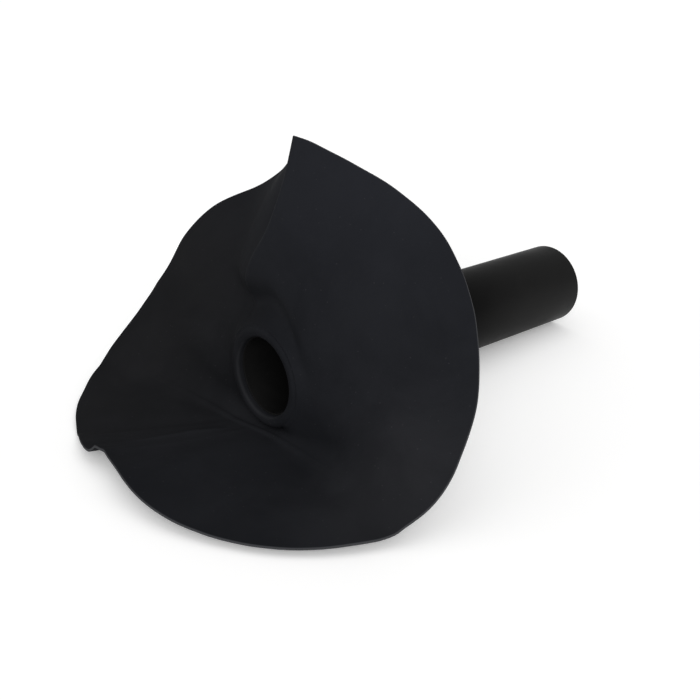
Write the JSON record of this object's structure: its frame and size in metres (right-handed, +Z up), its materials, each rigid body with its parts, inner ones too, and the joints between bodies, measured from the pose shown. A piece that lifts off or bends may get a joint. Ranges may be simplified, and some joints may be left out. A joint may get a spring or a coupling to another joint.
{
  "type": "roof drain outlet",
  "caption": "Roof drain outlet: a thin round rubber sheet moulded to a collar round the mouth of a straight rigid drain pipe.",
  "frame": {"origin": "centre of the pipe's end face at the mouth", "axes": "+X from the mouth along the pipe as seen from above, +Z up from the floor that the outlet lies on"},
  "size_m": [0.4912, 0.3795, 0.2369],
  "materials": {
    "rubber": "matte",
    "pipe_plastic": "satin"
  },
  "bodies": {
    "root": {"flange": "rubber", "drain_pipe": "pipe_plastic"}
  },
  "joints": []
}
